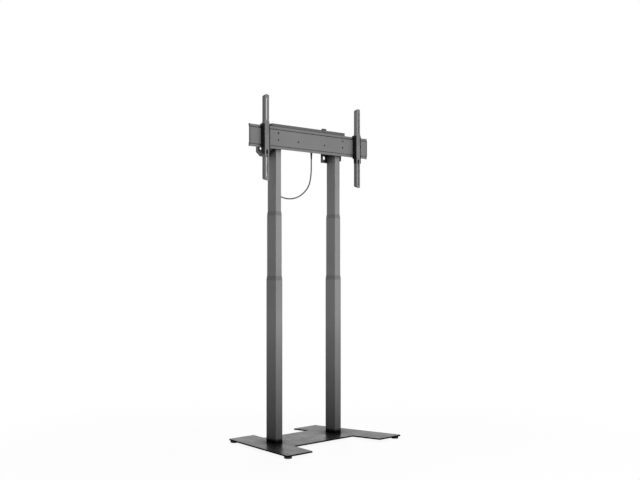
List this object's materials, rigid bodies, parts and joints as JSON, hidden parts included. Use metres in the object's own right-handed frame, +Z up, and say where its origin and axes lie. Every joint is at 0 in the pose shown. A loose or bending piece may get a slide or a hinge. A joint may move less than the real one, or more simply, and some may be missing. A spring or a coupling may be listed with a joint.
{
  "type": "tv lift mechanism",
  "caption": "Motorised floor stand with telescopic columns on a splayed base plate, lifting a cross-housing and a wide rail with sliding hook arms for a large display.",
  "frame": {"origin": "on the floor, under the centre of the stand's bounding box, with the columns raised", "axes": "+Z up, -Y towards the viewer of the display, +X to the right seen from the front"},
  "size_m": [0.9312, 0.598, 1.9235],
  "materials": {
    "powder_coat": "matt anthracite powder coat",
    "black_plastic": "matt black",
    "collar_plastic": "matt anthracite",
    "glide_plastic": "natural",
    "plain_steel": "turned",
    "zinc_steel": "zinc plated",
    "black_steel": "black oxide",
    "bronze": "turned",
    "cast_housing": "cast",
    "motor_steel": "satin black",
    "cable_jacket": "matt"
  },
  "bodies": {
    "stand": {"base_plate": "powder_coat", "foot_weld_nuts": "zinc_steel", "column_foot_blocks": "plain_steel", "column_foot_screws": "black_steel", "nut_posts": "plain_steel", "fixed_nuts": "bronze", "left_lower_tube": "powder_coat", "right_lower_tube": "powder_coat", "left_lower_collar": "collar_plastic", "right_lower_collar": "collar_plastic"},
    "carriage": {"column_head_plates": "plain_steel", "column_head_screws": "zinc_steel", "bracket_screws": "black_steel", "housing_floor": "powder_coat", "housing_cover": "powder_coat", "cross_beam": "plain_steel", "control_unit": "black_plastic", "receiver_block": "black_plastic", "rail": "powder_coat", "rail_end_caps": "black_plastic", "rail_spacers": "zinc_steel", "rail_screws": "black_steel", "rail_nuts": "zinc_steel", "cable_glands": "black_plastic", "cable": "cable_jacket", "left_upper_tube": "powder_coat", "left_upper_glides": "glide_plastic", "left_gearbox": "cast_housing", "left_motor": "motor_steel", "left_head_bracket": "powder_coat", "right_upper_tube": "powder_coat", "right_upper_glides": "glide_plastic", "right_gearbox": "cast_housing", "right_motor": "motor_steel", "right_head_bracket": "powder_coat"},
    "left_middle_stage": {"left_middle_tube": "powder_coat", "left_middle_collar": "collar_plastic", "left_middle_glides": "glide_plastic", "left_screw_bearing": "glide_plastic"},
    "left_hollow_screw": {"left_hollow_screw": "plain_steel"},
    "left_drive_screw": {"left_drive_screw": "plain_steel"},
    "left_arm": {"left_arm": "powder_coat", "left_hook": "powder_coat", "left_cheeks": "black_plastic"},
    "left_latch": {"left_latch": "black_plastic"},
    "right_middle_stage": {"right_middle_tube": "powder_coat", "right_middle_collar": "collar_plastic", "right_middle_glides": "glide_plastic", "right_screw_bearing": "glide_plastic"},
    "right_hollow_screw": {"right_hollow_screw": "plain_steel"},
    "right_drive_screw": {"right_drive_screw": "plain_steel"},
    "right_arm": {"right_arm": "powder_coat", "right_hook": "powder_coat", "right_cheeks": "black_plastic"},
    "right_latch": {"right_latch": "black_plastic"},
    "front_left_foot": {"front_left_foot": "black_plastic"},
    "front_right_foot": {"front_right_foot": "black_plastic"},
    "back_left_foot": {"back_left_foot": "black_plastic"},
    "back_right_foot": {"back_right_foot": "black_plastic"}
  },
  "joints": [
    {"name": "lift", "type": "slide", "parent": "stand", "child": "carriage", "axis": [0, 0, 1], "range_m": [-0.65, 0]},
    {"name": "left_middle_slide", "type": "slide", "parent": "stand", "child": "left_middle_stage", "axis": [0, 0, 1], "range_m": [-0.325, 0]},
    {"name": "left_hollow_screw_turn", "type": "hinge", "parent": "left_middle_stage", "child": "left_hollow_screw", "pos_m": [-0.2335, 0.038, 0.745], "axis": [0, 0, 1], "range_deg": [-5860, 5]},
    {"name": "left_drive_screw_turn", "type": "hinge", "parent": "carriage", "child": "left_drive_screw", "pos_m": [-0.2335, 0.038, 1.68], "axis": [0, 0, 1], "range_deg": [-11710, 5]},
    {"name": "left_arm_slide", "type": "slide", "parent": "carriage", "child": "left_arm", "axis": [1, 0, 0], "range_m": [-0.074, 0.26]},
    {"name": "left_latch_slide", "type": "slide", "parent": "left_arm", "child": "left_latch", "axis": [0, 0, -1], "range_m": [0, 0.007], "stiffness_N_per_m": 400, "springref_m": -0.01},
    {"name": "right_middle_slide", "type": "slide", "parent": "stand", "child": "right_middle_stage", "axis": [0, 0, 1], "range_m": [-0.325, 0]},
    {"name": "right_hollow_screw_turn", "type": "hinge", "parent": "right_middle_stage", "child": "right_hollow_screw", "pos_m": [0.2335, 0.038, 0.745], "axis": [0, 0, 1], "range_deg": [-5860, 5]},
    {"name": "right_drive_screw_turn", "type": "hinge", "parent": "carriage", "child": "right_drive_screw", "pos_m": [0.2335, 0.038, 1.68], "axis": [0, 0, 1], "range_deg": [-11710, 5]},
    {"name": "right_arm_slide", "type": "slide", "parent": "carriage", "child": "right_arm", "axis": [1, 0, 0], "range_m": [-0.26, 0.074]},
    {"name": "right_latch_slide", "type": "slide", "parent": "right_arm", "child": "right_latch", "axis": [0, 0, -1], "range_m": [0, 0.007], "stiffness_N_per_m": 400, "springref_m": -0.01},
    {"name": "front_left_foot_height", "type": "slide", "parent": "stand", "child": "front_left_foot", "axis": [0, 0, -1], "range_m": [0, 0.008]},
    {"name": "front_right_foot_height", "type": "slide", "parent": "stand", "child": "front_right_foot", "axis": [0, 0, -1], "range_m": [0, 0.008]},
    {"name": "back_left_foot_height", "type": "slide", "parent": "stand", "child": "back_left_foot", "axis": [0, 0, -1], "range_m": [0, 0.008]},
    {"name": "back_right_foot_height", "type": "slide", "parent": "stand", "child": "back_right_foot", "axis": [0, 0, -1], "range_m": [0, 0.008]}
  ],
  "couplings": [
    {"joint": "left_middle_slide", "follows": "lift", "ratio": 0.5},
    {"joint": "left_hollow_screw_turn", "follows": "lift", "rad_per_m": 157.08},
    {"joint": "left_drive_screw_turn", "follows": "lift", "rad_per_m": 314.16},
    {"joint": "right_middle_slide", "follows": "lift", "ratio": 0.5},
    {"joint": "right_hollow_screw_turn", "follows": "lift", "rad_per_m": 157.08},
    {"joint": "right_drive_screw_turn", "follows": "lift", "rad_per_m": 314.16}
  ]
}
